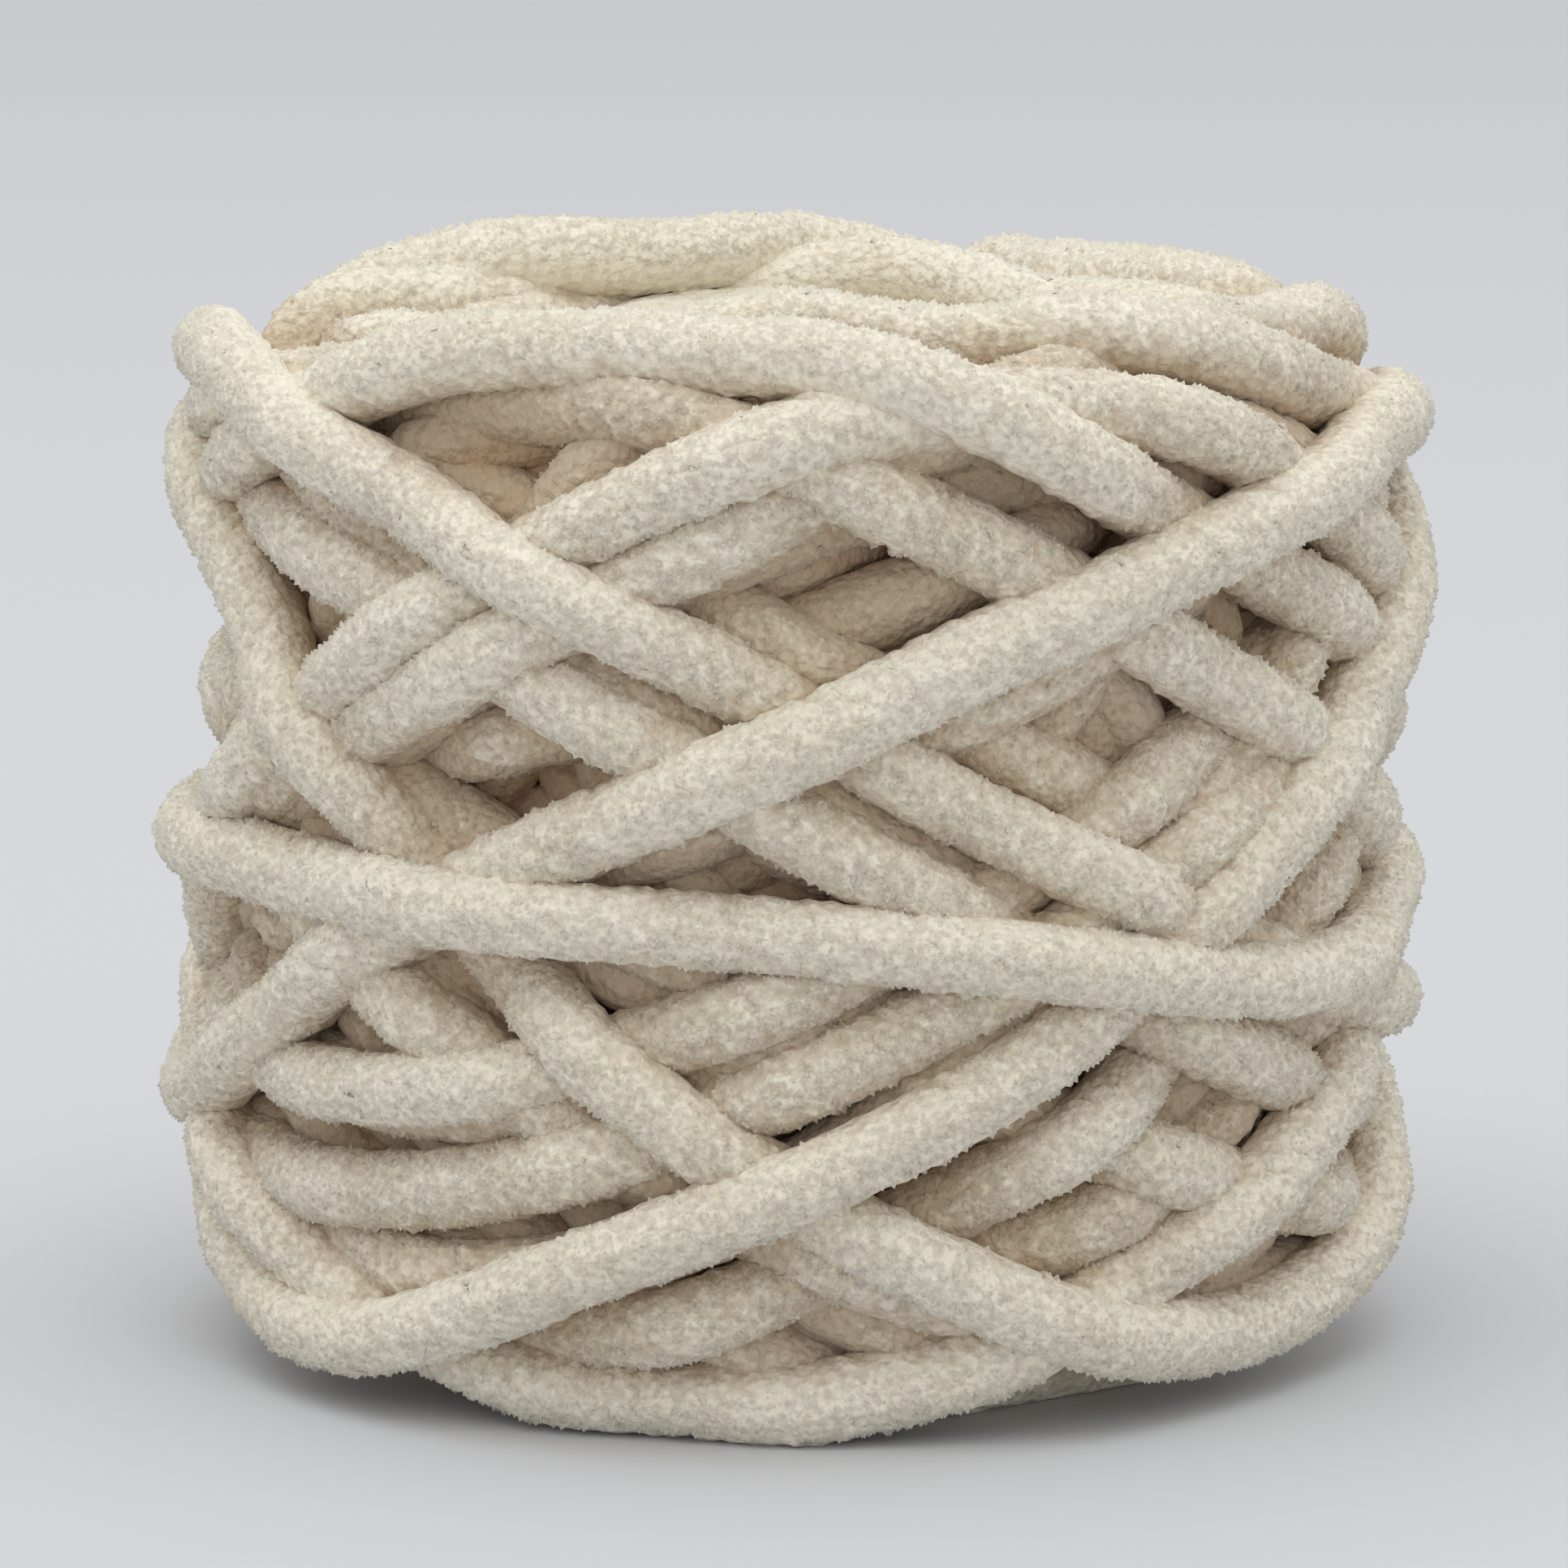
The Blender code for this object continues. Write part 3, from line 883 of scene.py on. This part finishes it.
def chenille_group():
    """Colour and relief of chenille pile.

    Colour goes from Gap through Slope to Crest as exposure, shifted by fine noise, rises
    from 0 to 1, which is painted shade in the gaps and painted light on the crests, and its
    value is then scaled by broad noise and by the curls, which paints each curl lighter in
    its middle and shaded at its edge. Gap is warm rather than dark, because the depth already
    takes the light away; its brown is painted bounced light. Relief is fine noise less the
    distance to the middle of the nearest curl of pile, so each curl is a dome.
    """
    group = bpy.data.node_groups.new("Chenille pile", "ShaderNodeTree")
    add_input(group, "Gap", "NodeSocketColor", (0.66, 0.47, 0.30, 1.0))
    add_input(group, "Slope", "NodeSocketColor", (0.60, 0.48, 0.34, 1.0))
    add_input(group, "Crest", "NodeSocketColor", (0.87, 0.81, 0.667, 1.0))
    add_input(group, "Mottle and curl shade", "NodeSocketFloat", 0.3)
    for name, kind in (("Color", "NodeSocketColor"), ("Relief", "NodeSocketFloat")):
        group.interface.new_socket(name=name, in_out="OUTPUT", socket_type=kind)
    nodes, link = group.nodes, group.links.new
    given = nodes.new("NodeGroupInput")
    out = nodes.new("NodeGroupOutput")
    where = nodes.new("ShaderNodeTexCoord").outputs["Object"]
    exposed = nodes.new("ShaderNodeAttribute")
    exposed.attribute_name = "exposure"

    def noise(scale, detail):
        made = nodes.new("ShaderNodeTexNoise")
        made.inputs["Scale"].default_value = scale
        made.inputs["Detail"].default_value = detail
        link(where, made.inputs["Vector"])
        return made.outputs["Fac"]

    def math_node(operation, first, second, third=0.0):
        made = nodes.new("ShaderNodeMath")
        made.operation = operation
        for socket, value in zip(made.inputs, (first, second, third)):
            if isinstance(value, float):
                socket.default_value = value
            else:
                link(value, socket)
        return made.outputs["Value"]

    def mix(share, first, second):
        made = nodes.new("ShaderNodeMix")
        made.data_type = "RGBA"
        made.clamp_factor = True
        link(share, made.inputs["Factor"])
        link(first, made.inputs[6])
        link(second, made.inputs[7])
        return made.outputs[2]

    fine, broad = noise(FINE_SCALE, NOISE_DETAIL), noise(BROAD_SCALE, NOISE_DETAIL)
    curls = nodes.new("ShaderNodeTexVoronoi")
    curls.inputs["Scale"].default_value = CURL_SCALE
    link(where, curls.inputs["Vector"])
    # Painted light and shade on each curl of pile: lighter in its middle, darker at its edge,
    # plus fine random noise.
    domes = math_node("MULTIPLY_ADD", curls.outputs["Distance"], CURL_RELIEF, fine)
    off_middle = math_node("ADD", domes, DOMES_MIDDLE)
    # Painted shade: the lower the exposure, the nearer the colour is to Gap, so deep gaps and the
    # undersides of strands are painted darker and browner.
    level = math_node("MULTIPLY_ADD", off_middle, given.outputs["Mottle and curl shade"], exposed.outputs["Fac"])
    low = math_node("MULTIPLY", level, GAP_TO_SLOPE)
    high = math_node("MULTIPLY_ADD", level, SLOPE_TO_CREST, CREST_OFFSET)
    colour = mix(low, given.outputs["Gap"], given.outputs["Slope"])
    colour = mix(high, colour, given.outputs["Crest"])
    tone = nodes.new("ShaderNodeHueSaturation")
    light = math_node("MULTIPLY_ADD", broad, BROAD_LIGHT, BASE_LIGHT)
    # Painted light: each curl's middle is made lighter in value.
    link(math_node("MULTIPLY_ADD", domes, DOME_LIGHT, light), tone.inputs["Value"])
    depth_of_colour = math_node("MULTIPLY_ADD", broad, BROAD_SATURATION, BASE_SATURATION)
    link(depth_of_colour, tone.inputs["Saturation"])
    link(colour, tone.inputs["Color"])
    link(tone.outputs["Color"], out.inputs["Color"])
    link(domes, out.inputs["Relief"])
    return group


chenille = chenille_group()
print(f"chenille group of {len(chenille.nodes)} nodes")


def chenille_material(name, mottle_and_curl_shade, relief_depth):
    """A material of chenille pile: the group's colour and relief on a soft, dry shader."""
    made = bpy.data.materials.new(name)
    made.use_nodes = True
    nodes, link = made.node_tree.nodes, made.node_tree.links.new
    shader = nodes["Principled BSDF"]
    pile = nodes.new("ShaderNodeGroup")
    pile.node_tree = chenille
    pile.inputs["Mottle and curl shade"].default_value = mottle_and_curl_shade
    link(pile.outputs["Color"], shader.inputs["Base Color"])
    bump = nodes.new("ShaderNodeBump")
    bump.inputs["Distance"].default_value = relief_depth
    bump.inputs["Strength"].default_value = 0.8
    link(pile.outputs["Relief"], bump.inputs["Height"])
    link(bump.outputs["Normal"], shader.inputs["Normal"])
    shader.inputs["Roughness"].default_value = 0.95
    shader.inputs["Specular IOR Level"].default_value = 0.15
    shader.inputs["Sheen Weight"].default_value = 0.25
    shader.inputs["Sheen Roughness"].default_value = 0.6
    return made


# The second number sets how strongly the curls of pile are painted lighter in the middle and
# darker at the edge, mixed with random speckle.
body_finish = chenille_material("chenille_body", 0.22, 0.0006)
pile_finish = chenille_material("chenille_pile", 0.16, 0.0001)
core_finish = chenille_material("chenille_core", 0.30, 0.0008)
print("finishes:", body_finish.name, pile_finish.name, core_finish.name)

# %% [markdown]
# Tying the pieces to the frame
#
# A ball of yarn has no moving part, so every piece rides on the one body there is. Together
# the pieces stand for the plain solid, which is hidden behind them.

# %% Put the finish on, and tie every piece to the frame
for piece in yarn_pieces + tuft_pieces:
    finish = pile_finish if piece in tuft_pieces else body_finish
    piece.data.materials.append(core_finish if piece.name == "yarn_core" else finish)
    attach(piece, "root")
    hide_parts("yarn_ball")
print(f"{len(yarn_pieces + tuft_pieces)} pieces ride on the frame")

# %% [markdown]
# Floor and light
#
# The ball stands on a plain pale floor under one broad soft light from above, and the
# surroundings fill the shadows. That is what makes the tops of the strands bright and
# their undersides soft and darker.

# %% Stage
FLOOR_SIZE = 6.0
floor_mesh = bpy.data.meshes.new("floor")
half = FLOOR_SIZE / 2
floor_mesh.from_pydata(
    [(-half, -half, 0.0), (half, -half, 0.0), (half, half, 0.0), (-half, half, 0.0)],
    [],
    [(0, 1, 2, 3)],
)
floor = bpy.data.objects.new("floor", floor_mesh)
bpy.context.scene.collection.objects.link(floor)
floor_finish = bpy.data.materials.new("pale_floor")
floor_finish.use_nodes = True
floor_shader = floor_finish.node_tree.nodes["Principled BSDF"]
floor_shader.inputs["Base Color"].default_value = (0.63, 0.64, 0.67, 1.0)
floor_shader.inputs["Roughness"].default_value = 0.9
floor_mesh.materials.append(floor_finish)


def soft_light(name, place, aim, size, power, colour):
    """A square area light at place that faces aim."""
    data = bpy.data.lights.new(name, "AREA")
    data.size = size
    data.energy = power
    data.color = colour
    light = bpy.data.objects.new(name, data)
    light.location = place
    direction = Vector(aim) - Vector(place)
    light.rotation_euler = direction.to_track_quat("-Z", "Y").to_euler()
    bpy.context.scene.collection.objects.link(light)
    print(f"{name} light of {power} W, {size} m wide")


soft_light(
    "overhead",
    place=(-0.1, -0.25, 1.8),
    aim=(0.0, 0.0, 0.04),
    size=1.9,
    power=13.5,
    colour=(0.98, 0.99, 0.95),
)

world = bpy.data.worlds.new("studio")
world.use_nodes = True
surroundings = world.node_tree.nodes["Background"]
surroundings.inputs["Color"].default_value = (0.945, 0.95, 0.96, 1.0)
surroundings.inputs["Strength"].default_value = 0.825
bpy.context.scene.world = world
bpy.context.scene.view_settings.view_transform = "Standard"

# %% [markdown]
# The camera
#
# The ball is seen from the front and a little above, from fairly close by, so that its far
# rim shows over the near one. The camera aims just beside the ball's middle, which places
# the ball in the frame without shifting the lens.

# %% Camera
CAMERA_DISTANCE = 0.774
CAMERA_ELEVATION = math.radians(9.6)
LOOKED_AT = Vector((0.0, 0.0, 0.048))
AIM = LOOKED_AT + Vector((-0.00095, 0.0, 0.0023))
SENSOR_MM, LENS_MM = 36.0, 193.0

camera_data = bpy.data.cameras.new("camera")
camera_data.sensor_width = SENSOR_MM
camera_data.lens = LENS_MM
camera = bpy.data.objects.new("camera", camera_data)
back = Vector((0.0, -math.cos(CAMERA_ELEVATION), math.sin(CAMERA_ELEVATION)))
camera.location = LOOKED_AT + CAMERA_DISTANCE * back
camera.rotation_euler = (AIM - camera.location).to_track_quat("-Z", "Y").to_euler()
bpy.context.scene.collection.objects.link(camera)
bpy.context.scene.camera = camera
print(f"camera {1000 * CAMERA_DISTANCE:.0f} mm away, {LENS_MM:.0f} mm lens")
